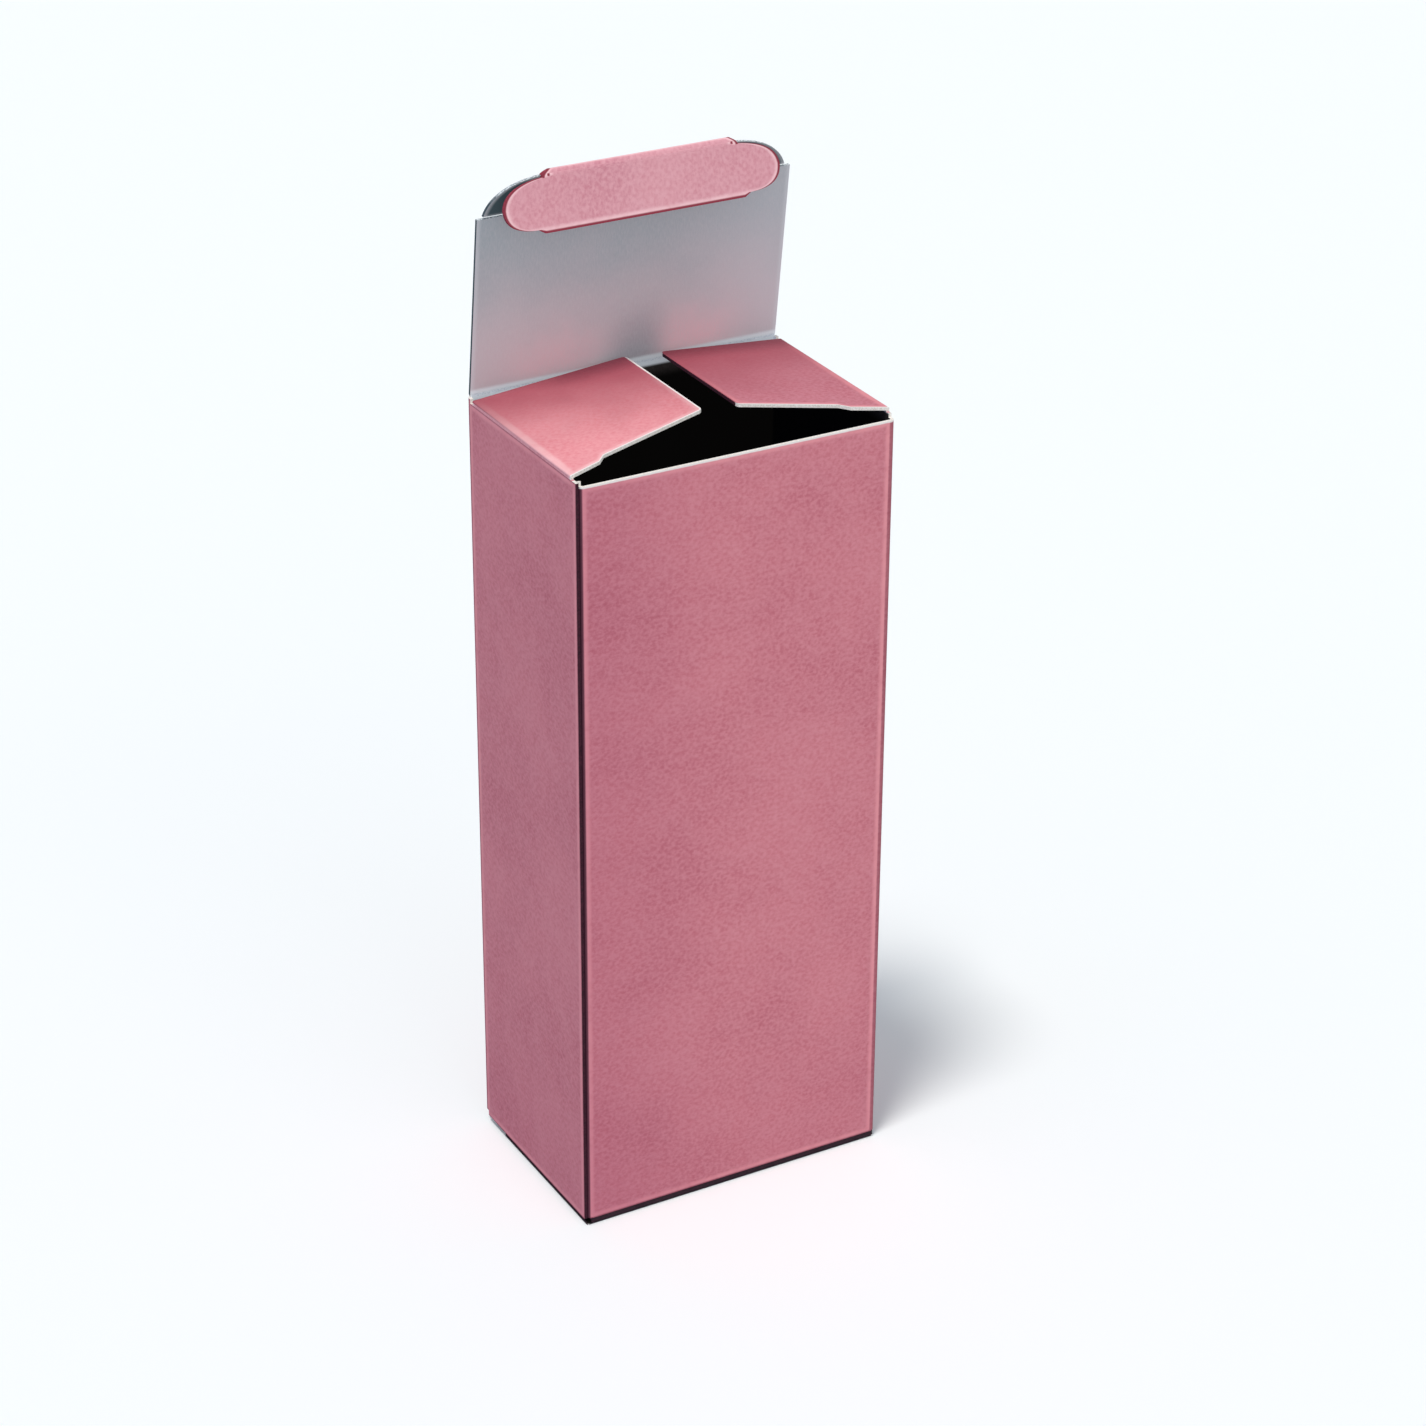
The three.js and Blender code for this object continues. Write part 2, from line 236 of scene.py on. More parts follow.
def lid_inside():
    """The inside of the lid: cool towards the tuck flap, warmer by the dust flaps with a painted
    pink reflection of them, painted shade in the gap between them and in the shoulders, paler to
    the right.
    """
    s = Shade("inside_of_lid")
    flat, rim = s.place()
    parts = s.add("ShaderNodeSeparateXYZ", {0: flat})
    up, side = parts.outputs[0], parts.outputs[1]
    fibre = s.noise(s.stretched(flat, 1, 4), 800, 5, 0.7)
    cloud = s.noise(flat, 55, 3, 0.6)
    drift = s.math("ADD", up, s.math("MULTIPLY", s.math("SUBTRACT", cloud, 0.5), 0.018))
    color = s.mix(s.ramp(drift, 0.004, 0.040), srgb(208, 194, 198), srgb(168, 177, 182))
    # Painted reflection: the pink light thrown back by the dust flaps, low on the lid.
    warm = s.ramp(drift, 0.001, 0.015, 1.0, 0.0)
    away = s.math("ABSOLUTE", side)
    blob = s.math("MULTIPLY", s.ramp(away, 0.002, 0.012), s.ramp(away, 0.018, 0.032, 1.0, 0.0))
    painted_pink_bounce = s.math("MULTIPLY", warm, blob)
    painted_pink_bounce = s.math("MULTIPLY", painted_pink_bounce, s.ramp(side, -0.005, 0.02, 0.55, 0.95))
    color = s.mix(painted_pink_bounce, color, srgb(242, 194, 200))
    # Painted shade: a cooler, darker wedge low in the middle, in the gap between the dust flaps.
    middle = s.math("ABSOLUTE", s.math("SUBTRACT", side, 0.002))
    gap_shade = s.ramp(middle, 0.002, 0.010, 1.0, 0.0)
    gap_shade = s.math("MULTIPLY", gap_shade, s.ramp(drift, 0.002, 0.018, 1.0, 0.0))
    color = s.mix(s.math("MULTIPLY", gap_shade, 0.45), color, srgb(140, 138, 148))
    right = s.ramp(side, 0.005, 0.036, 0.0, 0.3)
    color = s.mix(right, color, srgb(226, 222, 228))
    color = s.mix(s.ramp(fibre, 0.35, 0.7, 0.0, 0.3), color, srgb(214, 210, 212))
    # Painted shadow: the shoulders above the slits are dark teal, shaded by the tuck flap.
    shoulder = s.math("MULTIPLY", s.ramp(up, 0.0405, 0.0415), s.ramp(away, 0.019, 0.024))
    color = s.mix(s.math("MULTIPLY", shoulder, 0.94), color, srgb(44, 68, 74))
    color = s.mix(s.ramp(rim, 0.2, 1.3, 0.4, 0.0), color, srgb(226, 228, 232))
    color = s.mix(s.ramp(up, 0.0004, 0.0014, 0.9, 0.0), color, srgb(246, 250, 254))
    return s.board(color, fibre, s.ramp(fibre, 0.3, 0.7, 0.65, 0.85), 0.00006)


def sleeve_inside():
    """The inside of the sleeve: board painted dark grey, falling nearly black a little way below
    the mouth, as painted shade inside the carton; pale just under the mouth.
    """
    s = Shade("inside_of_sleeve")
    flat, _ = s.place()
    up = s.add("ShaderNodeSeparateXYZ", {0: flat}).outputs[1]
    fibre = s.noise(s.stretched(flat, 4, 1), 800, 5, 0.7)
    # Painted shade: the inside board is dark grey, and nearly black below the mouth.
    color = s.mix(s.ramp(fibre, 0.35, 0.7), srgb(46, 42, 41), srgb(60, 55, 54))
    color = s.mix(s.ramp(up, 0.1755, 0.1785, 0.96, 0.0), color, srgb(7, 6, 5))
    color = s.mix(s.ramp(up, 0.1786, 0.1794), color, srgb(232, 238, 244))
    return s.board(color, fibre, s.ramp(fibre, 0.3, 0.7, 0.75, 0.9), 0.00006, gloss=0.06)


def raw_edge(name, base, deep, sideways=False):
    """Cut board: pressed plies of fibre. The side edges can be the deeper colour."""
    s = Shade(name)
    spot = s.add("ShaderNodeTexCoord")
    where = spot.outputs["Object"]
    ply = s.noise(where, 2600, 3, 0.6)
    cut = s.noise(where, 420, 2, 0.5)
    color = s.mix(s.ramp(ply, 0.35, 0.7), base, deep)
    color = s.mix(s.ramp(cut, 0.5, 0.75, 0.0, 0.35), color, deep)
    if sideways:
        facing = s.add("ShaderNodeSeparateXYZ", {0: spot.outputs["Normal"]}).outputs[0]
        color = s.mix(s.ramp(s.math("ABSOLUTE", facing), 0.5, 0.8), color, deep)
    return s.board(color, ply, s.ramp(cut, 0.3, 0.7, 0.75, 0.9), 0.00008)


def ink_and_shade_by_the_lid(s, flat, color):
    """The dust flaps are deeper in colour towards the lid: partly deeper ink, partly painted shade
    from the lid.
    """
    parts = s.add("ShaderNodeSeparateXYZ", {0: flat})
    back = s.math("ADD", parts.outputs[1], s.math("MULTIPLY", parts.outputs[0], 0.25))
    drift = s.math("ADD", back, s.math("MULTIPLY", s.noise(flat, 70, 2), 0.012))
    return s.mix(s.ramp(drift, -0.008, 0.036, 0.0, 1.0), color, srgb(166, 76, 90))


def fold_contact_shadow(s, flat, color):
    """Painted shadow: the bottom lid is dark by its crease, where it meets what the carton stands
    on.
    """
    run = s.add("ShaderNodeSeparateXYZ", {0: flat}).outputs[0]
    return s.mix(s.ramp(run, 0.0002, 0.001, 1.0, 0.0), color, srgb(34, 18, 26))


def deep_fold_shadow(s, flat, color):
    """Painted shade: the bottom dust flaps are dark through their creases, under the side panels.
    """
    run = s.add("ShaderNodeSeparateXYZ", {0: flat}).outputs[0]
    return s.mix(s.ramp(run, 0.0032, 0.0046, 1.0, 0.0), color, srgb(34, 18, 26))


def by_the_seam(s, flat, color):
    """The sleeve is deeper in colour at its foot and beside its seam, and has a painted shadow in
    the seam.
    """
    parts = s.add("ShaderNodeSeparateXYZ", {0: flat})
    seam = s.ramp(parts.outputs[0], 0.013, 0.052, 0.55, 0.0)
    foot = s.ramp(parts.outputs[1], 0.002, 0.05, 0.3, 0.0)
    color = s.mix(s.math("ADD", seam, foot), color, (0.78, 0.67, 0.78, 1), "MULTIPLY")
    # Painted shadow: a dark line in the groove of the glue seam.
    return s.mix(s.ramp(parts.outputs[0], 0.01285, 0.01315, 0.9, 0.0), color, srgb(62, 20, 40))


pink_tones = (srgb(220, 130, 142), srgb(205, 113, 128), srgb(232, 152, 162), srgb(244, 158, 166))
pink_tones += (srgb(120, 40, 60, 0.45),)
pink = printed("pink_print", *pink_tones)
sleeve_pink = printed("pink_sleeve", *pink_tones, shadow=by_the_seam)
dust_pink = printed("pink_bottom_dust", *pink_tones, shadow=deep_fold_shadow)
foot_pink = printed("pink_foot", *pink_tones, shadow=fold_contact_shadow)
# Painted light and shade: the dust flaps are lit and shaded copies of the pink print, the left one
# lighter and the right one darker.
lit_flap_pink = printed(
    "pink_flap_left",
    srgb(246, 158, 165),
    srgb(236, 142, 150),
    srgb(250, 176, 181),
    srgb(255, 196, 198),
    srgb(190, 70, 86, 0.6),
    shadow=ink_and_shade_by_the_lid,
)
shaded_flap_pink = printed(
    "pink_flap_right",
    srgb(206, 122, 135),
    srgb(194, 106, 120),
    srgb(216, 146, 158),
    srgb(236, 150, 158),
    srgb(150, 50, 68, 0.6),
    shadow=ink_and_shade_by_the_lid,
)
tuck_pink = printed(
    "pink_tuck",
    srgb(224, 156, 166),
    srgb(208, 134, 148),
    srgb(236, 178, 186),
    srgb(252, 204, 208),
    srgb(140, 30, 52, 0.95),
    frays=0.0,
    border=0.72,
)
# Painted highlight, partly wear: the rounded fold strips and the sleeve's top edges under the dust
# flaps are a paler pink.
worn_and_highlit_pink = printed(
    "worn_fold",
    srgb(232, 158, 167),
    srgb(220, 138, 150),
    srgb(242, 186, 192),
    srgb(246, 190, 196),
    srgb(150, 50, 68, 0.3),
)
grey = plain("plain_board", srgb(176, 171, 174), srgb(158, 154, 158), srgb(196, 192, 196))
lid_grey = lid_inside()
shaded_inside_grey = sleeve_inside()
cut_white = raw_edge("cut_edge", srgb(252, 247, 240), srgb(226, 216, 206))
crease_white = raw_edge("opened_crease", srgb(236, 240, 246), srgb(206, 212, 222))
# Painted shade: the glue seam's cut edge is dark maroon for the shade in its groove; the right
# dust flap's end takes the same dark edge.
seam_dark = raw_edge("seam_edge", srgb(70, 24, 42), srgb(44, 14, 28))
# Painted shade: the tuck flap's cut edges are a dark red for the shade along them.
tuck_shaded_edge = raw_edge("inked_edge", srgb(178, 66, 84), srgb(120, 40, 58))
lid_edge = raw_edge("lid_edge", srgb(232, 238, 240), srgb(66, 80, 88), sideways=True)
# Painted shadow: the carton's foot is dark where it meets what it stands on.
foot_contact_shadow = raw_edge("foot_fold", srgb(60, 34, 46), srgb(34, 20, 28))


def places_across(low, high, inner):
    """Places across a row of board: close together by its edges, even between."""
    width = high - low
    scale = min(1, 0.45 * width / NEAR[-1])
    left = [low + scale * d for d in NEAR]
    right = [high - scale * d for d in reversed(NEAR)]
    middle = [left[-1] + (right[0] - left[-1]) * (i + 1) / (inner + 1) for i in range(inner)]
    return left + middle + right


class Row:
    """A line across the board: its middle, the way its inside faces, and its two ends.

    cuts tells which of the two ends are cut edges, and edge_slot the material there.
    """

    cuts = (True, True)
    edge_slot = 2

    def __init__(self, point, inside, run, low, high, rim=NO_RIM, thick=1.0):
        self.point = point
        self.inside = inside
        self.run = run
        self.low = low
        self.high = high
        self.rim = rim
        self.thick = thick


def sheet(name, rows, across, materials, inner=12, bow=None, cut_ends=(2, 2), cut_end=True):
    """Solid board through its rows. Materials: outside, inside, cut edge and any others.

    cut_ends are the materials of the first and last row's edges. cut_end: the last is cut.
    """
    mesh = bmesh.new()
    rim_layer = mesh.verts.layers.float.new("rim")
    cut_layer = mesh.verts.layers.float.new("cut")
    flat_layer = mesh.loops.layers.uv.new("blank")
    flat = {}
    grid = []
    for row in rows:
        line = []
        from_end = min(NO_RIM, rows[-1].run - row.run) if cut_end else NO_RIM
        for t in places_across(row.low, row.high, inner):
            lift = bow(row, t) if bow else 0
            middle = row.point + across * t - row.inside * lift
            half = row.inside * (BOARD / 2 * row.thick)
            pair = [mesh.verts.new((middle - half) * MM), mesh.verts.new((middle + half) * MM)]
            for vert in pair:
                vert[rim_layer] = min(t - row.low, row.high - t, row.rim)
                ends = ((t - row.low, row.cuts[0]), (row.high - t, row.cuts[1]))
                vert[cut_layer] = min([from_end] + [d for d, is_cut in ends if is_cut])
                flat[vert] = (row.run * MM, t * MM)
            line.append(pair)
        grid.append(line)

    def face(corners, slot):
        made = mesh.faces.new(corners)
        made.material_index = slot
        made.smooth = True
        for loop in made.loops:
            loop[flat_layer].uv = flat[loop.vert]

    last = len(grid) - 1
    for i in range(last):
        for j in range(len(grid[0]) - 1):
            for side in (0, 1):
                a, b = grid[i][j][side], grid[i + 1][j][side]
                c, d = grid[i + 1][j + 1][side], grid[i][j + 1][side]
                face((a, b, c, d), side)
        for j in (0, -1):
            a, b = grid[i][j], grid[i + 1][j]
            face((a[0], a[1], b[1], b[0]), rows[i].edge_slot)
    for i, slot in ((0, cut_ends[0]), (last, cut_ends[1])):
        for j in range(len(grid[0]) - 1):
            a, b = grid[i][j], grid[i][j + 1]
            face((a[0], b[0], b[1], a[1]), slot)
    bmesh.ops.recalc_face_normals(mesh, faces=mesh.faces)
    for edge in mesh.edges:
        edge.smooth = edge.calc_face_angle(0) < 0.6
    data = bpy.data.meshes.new(name)
    mesh.to_mesh(data)
    mesh.free()
    for material in materials:
        data.materials.append(material)
    thing = bpy.data.objects.new(name, data)
    bpy.context.collection.objects.link(thing)
    return thing


def bent(corners):
    """The middle line of bent board: (point, inside, run, distance from a fold or end)."""
    line = []
    run = 0
    count = len(corners)
    directions = [(corners[i + 1] - corners[i]).normalized() for i in range(count - 1)]
    for i, direction in enumerate(directions):
        left = Vector((-direction.y, direction.x))
        turn_in = directions[i - 1].angle(direction) if i > 0 else 0
        turn_out = direction.angle(directions[i + 1]) if i < count - 2 else 0
        cut_in = FOLD * math.tan(turn_in / 2)
        length = (corners[i + 1] - corners[i]).length - cut_in - FOLD * math.tan(turn_out / 2)
        inner = max(0, int(length / 5) - 2)
        for place in places_across(0, length, inner):
            point = corners[i] + direction * (cut_in + place)
            line.append((point, left, run + place, min(place, length - place)))
        run += length
        if i == count - 2:
            break
        onward = directions[i + 1]
        side = math.copysign(1, direction.x * onward.y - direction.y * onward.x)
        centre = corners[i] + direction * (cut_in + length) + left * (side * FOLD)
        for k in range(1, 6):
            angle = side * turn_out * k / 6
            turned = Matrix.Rotation(angle, 2) @ left
            run_here = run + FOLD * turn_out * k / 6
            line.append((centre - turned * (side * FOLD), turned, run_here, 0))
        run += FOLD * turn_out
    return line


def curve(start, control, end, steps):
    """Points on a quadratic curve, without its first."""
    made = []
    for k in range(1, steps + 1):
        t = k / steps
        a, b, c = (1 - t) ** 2, 2 * t * (1 - t), t * t
        made.append(tuple(a * p + b * q + c * r for p, q, r in zip(start, control, end)))
    return made


# Where a flap's rounded root has its rows, and the share of the board's thickness there.
ROOT = ((-0.34, 0.25), (-0.28, 0.6), (-0.16, 0.9), (0.0, 1.0))
BOTH = (True, True)


def flat_flap(name, outline, pose, across, materials, bow=None, end_slot=2, lined=True, cuts=BOTH):
    """A flap from its root, through (run, low, high) of its outline.

    The pose is its place, the way it runs and the way its inside faces. A lined flap is
    pale along its crease, from wear and a painted highlight.
    """
    place, along, inside = pose
    first = outline[0]
    root = 0.85 if lined else NO_RIM
    rows = []
    for run, thick in ROOT:
        rows.append(Row(place + along * run, inside, run, first[1], first[2], root, thick))
    end = outline[-1][0]
    for run, low, high in outline[1:]:
        rim = min(max(run, root), end - run)
        rows.append(Row(place + along * run, inside, run, low, high, rim))
    for row in rows:
        row.cuts = cuts
    return sheet(name, rows, across, materials, 12, bow, (0, end_slot), end_slot == 2)


def runs_between(start, end, step):
    """Even places between two, without the ends."""
    count = max(1, round((end - start) / step))
    return [start + (end - start) * k / count for k in range(1, count)]


def lid_outline():
    """Straight sides, a slit each side, round shoulders above and a straight tuck crease."""
    half = LID_HALF
    made = [(0, -half, half)]
    made += [(run, -half, half) for run in (0.3, 0.6, 1.0, 1.6, 3.0)]
    made += [(run, -half, half) for run in runs_between(3, LID_SIDE - 1.6, 3)]
    made += [(LID_SIDE - back, -half, half) for back in (1.6, 1.0, 0.6, 0.3, 0.0)]
    above = LID_SIDE + SLIT
    made += [(LID_SIDE + 0.004, -half + 7, half - 7), (above, -half + 7, half - 7)]
    shoulder = half - 0.9 - 0.5
    made.append((above + 0.004, -shoulder, shoulder))
    end = LID_LENGTH - 0.15
    ends = ((above, shoulder), (LID_SIDE + 7, half - 3.6), (end, CREASE_HALF))
    made += [(run, -wide, wide) for run, wide in curve(*ends, 16)]
    return made


def tuck_outline():
    """Round ends from the crease, and a small step in before the straight free edge."""
    crease = CREASE_HALF
    wide = TUCK_WIDE
    made = [(0, -crease, crease), (0.35, -crease, crease)]
    for run, half in curve((0.35, crease), (0.9, wide - 0.7), (6, wide), 14):
        made.append((run, -half, half))
    for run, half in curve((6, wide), (TUCK_STEP, wide), (TUCK_STEP, 25), 14)[:-1]:
        made.append((run, -half, half))
    return made + [(TUCK_STEP, -25, 25), (TUCK_DEPTH, -23.5, 23.5)]


def dust_outline(length, tuck_side):
    """Square at the back, with two slopes and a rounded corner on the tuck flap's side."""
    corner = length - DUST_CORNER
    points = [(0, DUST_ROOT)] + [(run, None) for run in (0.3, 0.6, 1.0, 1.6, 4)]
    points += [(7.5, 20.1), (8.5, None), (9.5, 18.0)]
    points += [(run, None) for run in runs_between(9.5, corner, 2.5)]
    points += [(corner, DUST_TIP)]
    known = [(run, y) for run, y in points if y is not None]
    made = []
    for run, y in points:
        for (r0, y0), (r1, y1) in zip(known, known[1:]):
            if y is None and r0 <= run <= r1:
                y = y0 + (y1 - y0) * (run - r0) / (r1 - r0)
        made.append((run, -DUST_BACK, y))
    for k in range(1, 7):
        angle = math.pi / 2 * k / 6
        inset = DUST_CORNER * (1 - math.cos(angle))
        run = corner + DUST_CORNER * math.sin(angle)
        made.append((run, -DUST_BACK + inset, DUST_TIP - inset))
    return made if tuck_side > 0 else [(run, -high, -low) for run, low, high in made]


# The sleeve, its seam and the bottom dust flaps.
glue_x = -WALL_X + BOARD + 0.1
corners = [(glue_x, GLUE_END), (glue_x, -WALL_Y), (WALL_X, -WALL_Y)]
corners += [(WALL_X, WALL_Y), (-WALL_X, WALL_Y), (-WALL_X, SEAM_Y)]
middle_line = bent([Vector(corner) for corner in corners])


def sleeve_ends(point, run):
    """How low and how high the sleeve reaches at a point of its middle line."""
    if run < GLUE_RUN:
        share = (point.y + FOLD_START) / (GLUE_END + FOLD_START)
        taper = GLUE_TAPER * max(0, min(1, share))
        return BACK_FOOT + taper, SIDE_TOP - taper
    if point.y < -FOLD_START:
        return SIDE_FOOT, FRONT_TOP if point.x > -36.75 else SIDE_TOP
    if point.y > FOLD_START:
        return BACK_FOOT, BACK_TOP
    return SIDE_FOOT, SIDE_TOP


sleeve_rows = []
before = None
for point, inside, run, rim in middle_line:
    if 12.8 < run < 18:
        rim += 0.95
    ends = sleeve_ends(point, run)
    where = Vector((point.x, point.y, 0))
    facing = Vector((inside.x, inside.y, 0))
    if before and before != ends and run > GLUE_RUN:
        step = where - (where - last_place) * 0.02
        sleeve_rows.append(Row(step, facing, run - 0.004, *before, rim))
    sleeve_rows.append(Row(where, facing, run, *ends, rim))
    for row in sleeve_rows[-2:]:
        row.cuts = (False, row.high < SIDE_TOP)
        if row.high == SIDE_TOP and abs(point.y) < DUST_ROOT and run > GLUE_RUN:
            row.edge_slot = 4
    before = ends
    last_place = where


def panel_bow(row, t):
    """The panels of the sleeve swell a little between their folds."""
    share = max(0, min(1, (t - 4) / 170))
    across = min(1, row.rim / 24)
    return 0.22 * math.sin(math.pi * share) * across * across * (3 - 2 * across)


sleeve = sheet(
    "sleeve",
    sleeve_rows,
    Z,
    (sleeve_pink, shaded_inside_grey, cut_white, seam_dark, worn_and_highlit_pink),
    inner=26,
    bow=panel_bow,
    cut_ends=(2, 3),
    cut_end=False,
)
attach(sleeve, "carton")
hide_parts("carton_body")

glue_rows = []
for k in range(8):
    y = -21.6 + 6.9 * k / 7
    glue_rows.append(Row(Vector((-36.75, y, 0)), X, y, 11.0 + 0.3 * math.sin(3 * k), 170.5))
glue_line = sheet("glue_line", glue_rows, Z, (grey, grey, grey), inner=10)
to_middle = Matrix.Translation((36.75 * MM, 0, 0))
glue_line.data.transform(to_middle.inverted() @ Matrix.Scale(0.14, 4, X) @ to_middle)
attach(glue_line, "carton")

for side, word in ((-1, "left"), (1, "right")):
    bend = [Vector((side * WALL_X, 4.0)), Vector((side * WALL_X, BOTTOM_DUST_Z))]
    bend.append(Vector((side * (WALL_X - BOTTOM_DUST), BOTTOM_DUST_Z)))
    outline = dust_outline(BOTTOM_DUST, 1)
    rows = []
    for point, inside, run, rim in bent(bend):
        reach = max(0, WALL_X - abs(point.x))
        if point.y > 2.101:
            continue
        nearest = [o for o in outline if o[0] <= reach + 1e-6][-1]
        following = ([o for o in outline if o[0] > reach] or [outline[-1]])[0]
        gap = following[0] - nearest[0]
        share = (reach - nearest[0]) / gap if gap > 0 else 0
        low = nearest[1] + (following[1] - nearest[1]) * share
        high = nearest[2] + (following[2] - nearest[2]) * share
        facing = Vector((inside.x, 0, inside.y)) * -side
        rows.append(Row(Vector((point.x, 0, point.y)), facing, run, low, high, rim))
    dust = sheet(f"bottom_dust_flap_{word}", rows, Y, (dust_pink, shaded_inside_grey, cut_white), inner=10)
    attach(dust, "carton")


# The lid, the tuck flap and the dust flaps, then the same flaps at the bottom.
lean = math.radians(90 - LID_OPEN)
lid_up = Vector((0, -math.sin(lean), math.cos(lean)))
lid_out = Vector((0, math.cos(lean), math.sin(lean)))
lid_axis = Vector((0, WALL_Y, 180.65))


def lid_bow(row, t):
    """The lid hollows a little between its creases."""
    return -0.25 * math.sin(math.pi * max(0, min(1, row.run / 46))) * (1 - (t / 38) ** 2)


lid_pose = (lid_axis, lid_up, -lid_out)
lid = flat_flap("lid", lid_outline(), lid_pose, X, (pink, lid_grey, lid_edge), lid_bow)
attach(lid, "lid")
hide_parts("lid_panel")


def tuck_place(axis, up, out, fold):
    """Middle of the board at its crease, the way it runs and the way its outside faces."""
    turn = math.radians(fold)
    along = up * math.cos(turn) - out * math.sin(turn)
    facing = up * math.sin(turn) + out * math.cos(turn)
    return axis + up * LID_LENGTH - out * 0.5 + facing * 0.5, along, facing


at, along, out = tuck_place(lid_axis, lid_up, lid_out, TUCK_FOLD)
tuck_slots = (tuck_pink, grey, tuck_shaded_edge)
tuck = flat_flap(
    "tuck_flap_board", tuck_outline(), (at, along, -out), X, tuck_slots, lined=False
)
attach(tuck, "tuck")
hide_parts("tuck_flap")

tilt = math.radians(DUST_TILT)
for side, word, length in ((-1, "left", LEFT_DUST), (1, "right", RIGHT_DUST)):
    along = Vector((-side * math.cos(tilt), 0, math.sin(tilt)))
    out = Vector((side * math.sin(tilt), 0, math.cos(tilt)))
    at = Vector((side * WALL_X, 0, 179.65))
    outline = dust_outline(length, -1)
    print_of = lit_flap_pink if side < 0 else shaded_flap_pink
    slots = (print_of, grey, cut_white, seam_dark)
    end_slot = 2 if side < 0 else 3
    dust = flat_flap(
        f"dust_flap_board_{word}",
        outline,
        (at, along, -out),
        Y,
        slots,
        end_slot=end_slot,
        cuts=(True, False),
    )
    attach(dust, f"dust_{word}")
    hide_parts(f"dust_flap_{word}")

foot_axis = Vector((0, -WALL_Y, 0.35))
foot_slots = (foot_pink, shaded_inside_grey, foot_contact_shadow)
bottom = flat_flap("bottom_lid_board", lid_outline(), (foot_axis, Y, Z), X, foot_slots)
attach(bottom, "bottom_lid")
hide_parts("bottom_lid")
at, along, out = tuck_place(foot_axis, Y, -Z, TUCK_SHUT)
foot_tuck_slots = (pink, grey, cut_white)
bottom_tuck = flat_flap(
    "bottom_tuck_board", tuck_outline(), (at, along, -out), X, foot_tuck_slots
)
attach(bottom_tuck, "bottom_tuck")
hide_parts("bottom_tuck_flap")


def crease(name, bodies, line, span, across, materials, start, end, thick=0.96, pinch=None):
    """A strip of board between two bodies, along the crease of a flap, built at the pose given.

    The line is its points and the ways its inside faces. A pinch draws its ends in and paints a
    highlight along the middle of the fold.
    """
    points, facings = line
    rows = []
    run = 0
    for i, (point, facing) in enumerate(zip(points, facings)):
        if i:
            run += (point - points[i - 1]).length
        drawn = pinch[i] if pinch else 0
        # Painted highlight: the middle rows of a pinched fold take the pale band along its apex.
        rim = 0.8 if pinch and 5 <= i <= 7 else 2.0
        rows.append(Row(point, facing, run, span[0] + drawn, span[1] - drawn, rim, thick))
    strip = sheet(name, rows, across, materials, inner=16, cut_end=False)
    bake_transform(strip)
    return strip


def straight(start, end, facing, count=7):
    """A straight line of points for a crease, all facing one way."""
    points = [start.lerp(end, k / (count - 1)) for k in range(count)]
    return points, [facing] * count


low = Vector((0, WALL_Y, 179.9))
crease(
    "lid_crease",
    ("carton", "lid"),
    straight(low, lid_axis + lid_up * 0.1, -Y),
    (-36.9, 36.9),
    X,
    (worn_and_highlit_pink, crease_white, cut_white),
    Vector((0, WALL_Y, BACK_TOP)),
    Vector((0, WALL_Y, BACK_TOP + 0.6)),
)


def turned_fold(name, bodies, axis, up, out, fold, material, lift):
    """The crease of a tuck flap: board bent round from the lid to the flap."""
    at, along, facing = tuck_place(axis, up, out, fold)
    start = axis + up * (LID_LENGTH - 0.7)
    stops = (start, start + up * lift, at + along * 0.3 - along * lift, at + along * 0.6)
    points = []
    for k in range(13):
        t = k / 12
        shares = ((1 - t) ** 3, 3 * t * (1 - t) ** 2, 3 * t * t * (1 - t), t**3)
        points.append(sum((stop * share for stop, share in zip(stops, shares)), Vector()))
    middle = (points[0] + points[-1]) / 2
    facings = [-out]
    for k in range(1, 12):
        inside = (points[k + 1] - points[k - 1]).cross(X).normalized()
        facings.append(inside if inside.dot(middle - points[k]) > 0 else -inside)
    facings.append(-facing)
    crease(
        name,
        bodies,
        (points, facings),
        (-CREASE_HALF - 1.2, CREASE_HALF + 1.2),
        X,
        (material, material, material),
        start + out * 0.3,
        at + along * 0.3,
        1.02,
        [1.7 * math.sin(math.pi * k / 12) ** 2 for k in range(13)],
    )


turned_fold(
    "tuck_crease_fold", ("lid", "tuck"), lid_axis, lid_up, lid_out, TUCK_FOLD, tuck_pink, 1.6
)

for side, word in ((-1, "left"), (1, "right")):
    low = Vector((side * WALL_X, 0, 178.9))
    crease(
        f"dust_crease_{word}",
        ("carton", f"dust_{word}"),
        straight(low, Vector((side * WALL_X, 0, 179.6)), -side * X),
        (-DUST_BACK, 22.2),
        Y,
        (worn_and_highlit_pink, grey, cut_white),
        low + Z * 0.1,
        low + Z * 0.6,
    )

crease(
    "bottom_crease",
    ("carton", "bottom_lid"),
    straight(Vector((0, -WALL_Y, 1.7)), foot_axis, Y),
    (-36.0, 36.9),
    X,
    (foot_contact_shadow, grey, foot_contact_shadow),
    Vector((0, -WALL_Y, 1.3)),
    Vector((0, -WALL_Y, 0.5)),
)
turned_fold(
    "bottom_tuck_fold", ("bottom_lid", "bottom_tuck"), foot_axis, Y, -Z, TUCK_SHUT, pink, 0.9
)


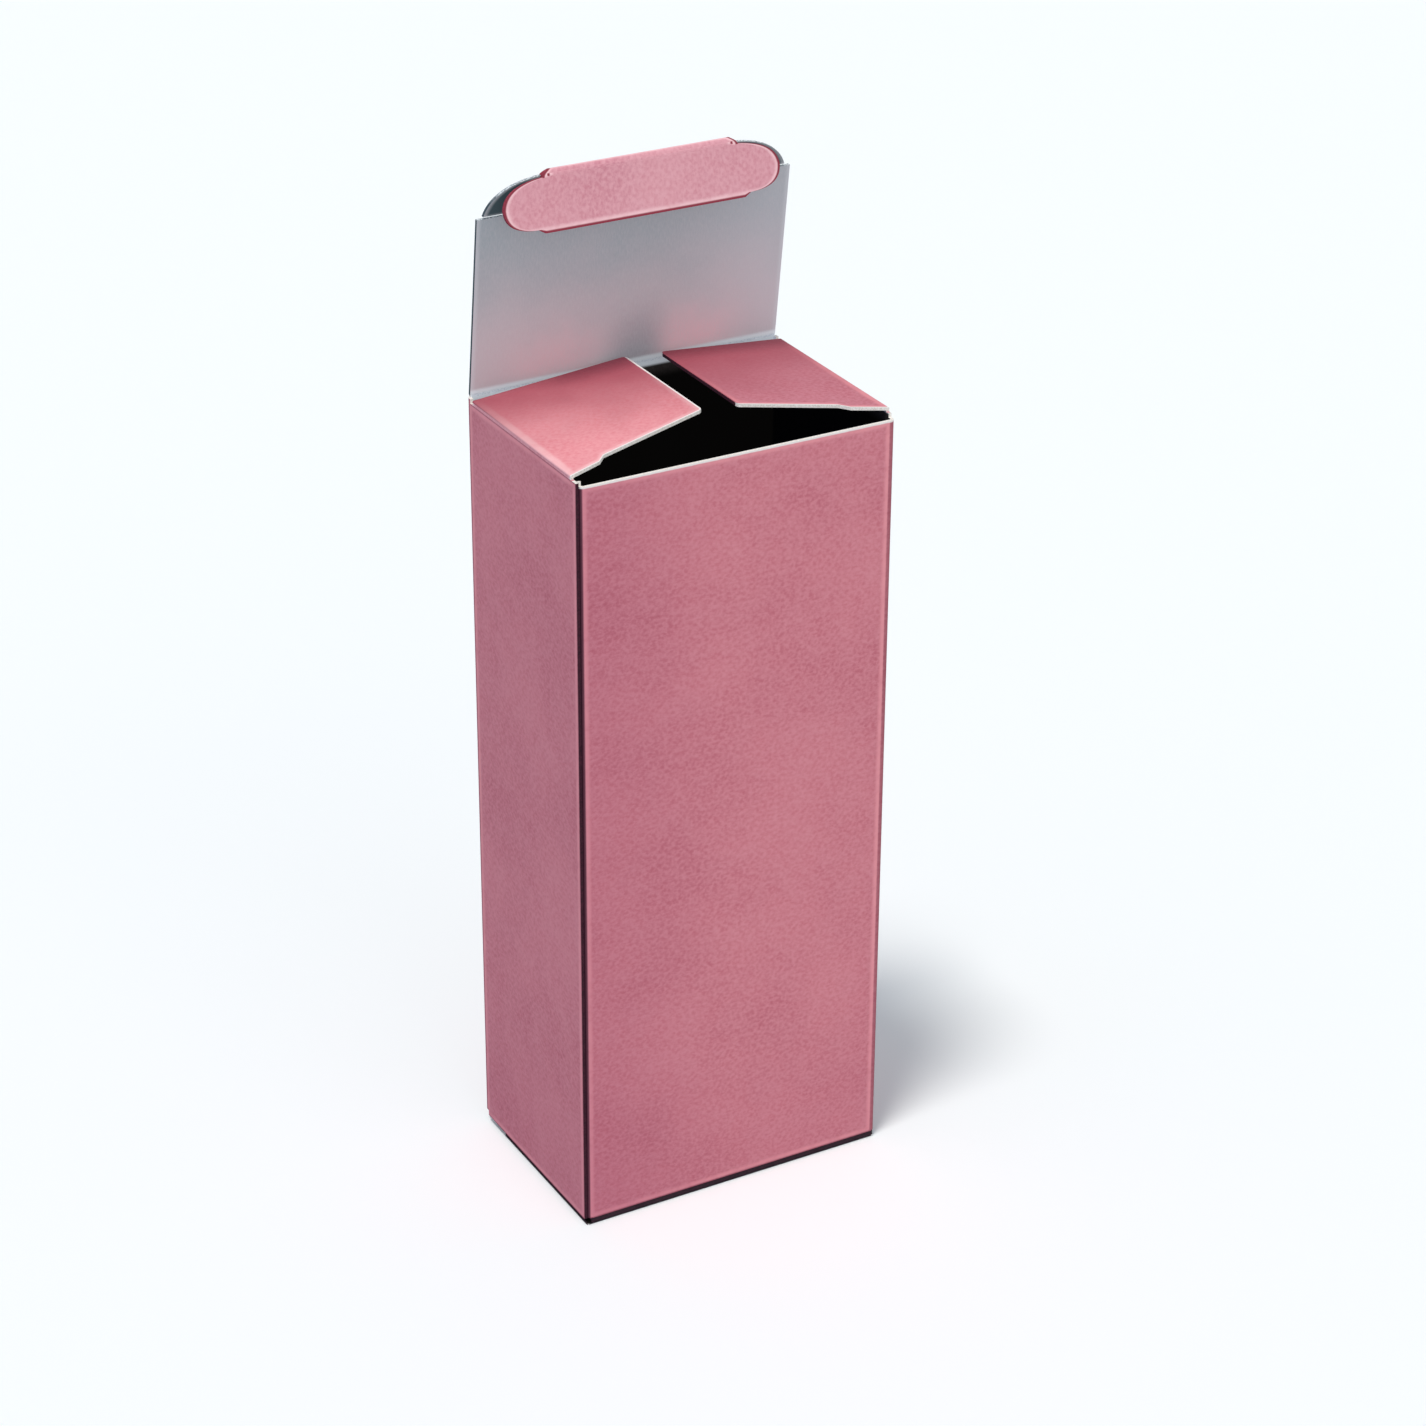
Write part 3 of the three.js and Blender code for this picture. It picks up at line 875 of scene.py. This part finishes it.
# The floor is paler to the camera than to the light that it throws back.
floor_mesh = bpy.data.meshes.new("floor")
reach = 6.0
floor_corners = [(x * reach, y * reach, 0) for x, y in ((-1, -1), (1, -1), (1, 1), (-1, 1))]
floor_mesh.from_pydata(floor_corners, [], [(0, 1, 2, 3)])
floor = bpy.data.objects.new("floor", floor_mesh)
bpy.context.collection.objects.link(floor)
paper = Shade("floor_paper")
seen = paper.add("ShaderNodeBsdfDiffuse", {"Color": (0.952, 0.975, 0.98, 1)})
bounced = paper.add("ShaderNodeBsdfDiffuse", {"Color": (0.42, 0.44, 0.46, 1)})
path = paper.add("ShaderNodeLightPath")
by_camera = path.outputs["Is Camera Ray"]
both = paper.add("ShaderNodeMixShader", {0: by_camera, 1: bounced.outputs[0], 2: seen.outputs[0]})
paper.add("ShaderNodeOutputMaterial", {"Surface": both.outputs[0]})
floor_mesh.materials.append(paper.material)
floor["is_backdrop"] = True

# The sky is dim, and white to the camera alone.
world = bpy.data.worlds.new("sky")
bpy.context.scene.world = world
world.use_nodes = True
sky = world.node_tree
sky.nodes.clear()
sky_path = sky.nodes.new("ShaderNodeLightPath")
dim = sky.nodes.new("ShaderNodeBackground")
dim.inputs[0].default_value = (0.305, 0.355, 0.39, 1)
white = sky.nodes.new("ShaderNodeBackground")
white.inputs[0].default_value = srgb(250, 253, 254)
blend = sky.nodes.new("ShaderNodeMixShader")
sky_out = sky.nodes.new("ShaderNodeOutputWorld")
sky.links.new(sky_path.outputs["Is Camera Ray"], blend.inputs[0])
sky.links.new(dim.outputs[0], blend.inputs[1])
sky.links.new(white.outputs[0], blend.inputs[2])
sky.links.new(blend.outputs[0], sky_out.inputs[0])


def sun(name, toward, strength, color, angle, casts=True):
    """A sun in the direction toward, whose light on a white face is its strength."""
    lamp = bpy.data.lights.new(name, "SUN")
    lamp.energy = strength * math.pi
    lamp.color = color
    lamp.angle = math.radians(angle)
    lamp.use_shadow = casts
    thing = bpy.data.objects.new(name, lamp)
    bpy.context.collection.objects.link(thing)
    thing.rotation_mode = "QUATERNION"
    thing.rotation_quaternion = Vector(toward).to_track_quat("Z", "Y")


sun("high_light", (-0.25, -0.12, 0.96), 0.565, (1.0, 0.955, 0.91), 12)
sun("front_light", (0.05, -0.92, 0.40), 0.34, (1.0, 0.98, 0.98), 50, casts=False)
sun("side_light", (-0.97, -0.1, 0.2), 0.13, (0.42, 0.5, 1.0), 60, casts=False)

# The camera was fitted to the carton's corners.
camera = bpy.data.objects.new("camera", bpy.data.cameras.new("camera"))
bpy.context.collection.objects.link(camera)
forward = Vector((0.438323, 0.774642, -0.455855)).normalized()
right = Vector((0.871679, -0.490047, 0.005410)).normalized()
up = right.cross(forward)
placed = Matrix((right, up, -forward)).transposed().to_4x4()
placed.translation = Vector((-350.02, -633.19, 477.92)) * MM
camera.matrix_world = placed
camera.data.sensor_width = 36
camera.data.lens = 94.08
camera.data.clip_start = 0.05
camera.data.clip_end = 30
bpy.context.scene.camera = camera
bpy.context.scene.view_settings.view_transform = "Standard"

low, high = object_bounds()
